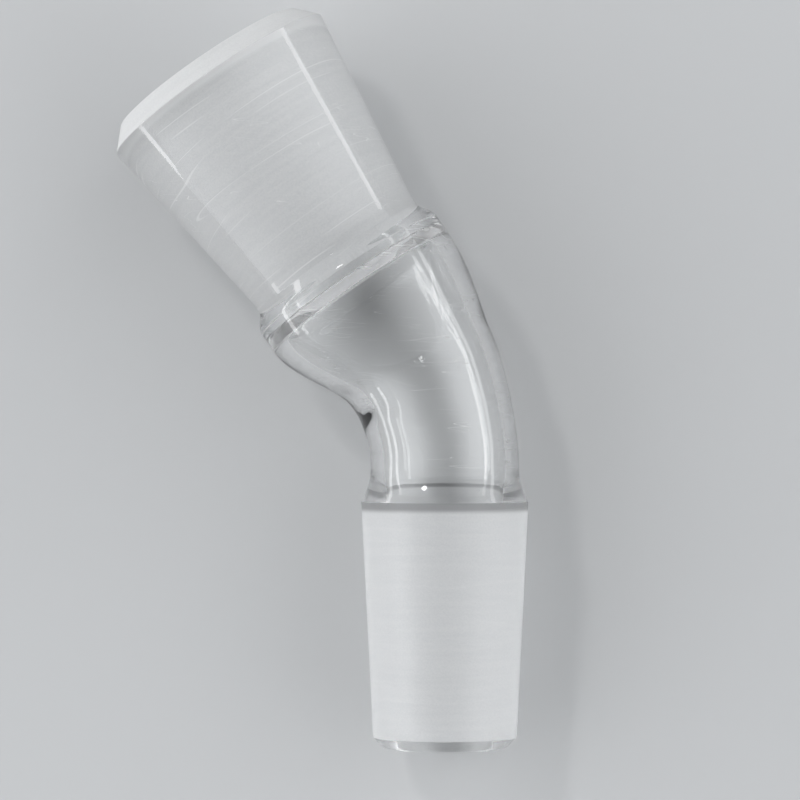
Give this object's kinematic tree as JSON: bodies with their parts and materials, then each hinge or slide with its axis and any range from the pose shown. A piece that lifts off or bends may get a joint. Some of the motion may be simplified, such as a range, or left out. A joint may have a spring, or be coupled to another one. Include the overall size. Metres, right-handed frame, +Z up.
{
  "type": "bent ground joint adapter",
  "caption": "Short bent adapter of clear lab glass: a ground cone joins a ground socket through a blown bulb, to turn a vapour or vacuum line at an angle.",
  "frame": {"origin": "on the surface the adapter lies on, under the middle of its box", "axes": "+Z up; +Y along the cone's axis seen from above, from the tip towards the bend; the socket leans towards -X"},
  "size_m": [0.0466, 0.0838, 0.0279],
  "materials": {
    "glass": "clear blown glass, matt ground finish on the cone, in the socket's bore and on the rim bevel"
  },
  "bodies": {
    "root": {"glass_adapter": "glass"}
  },
  "joints": []
}
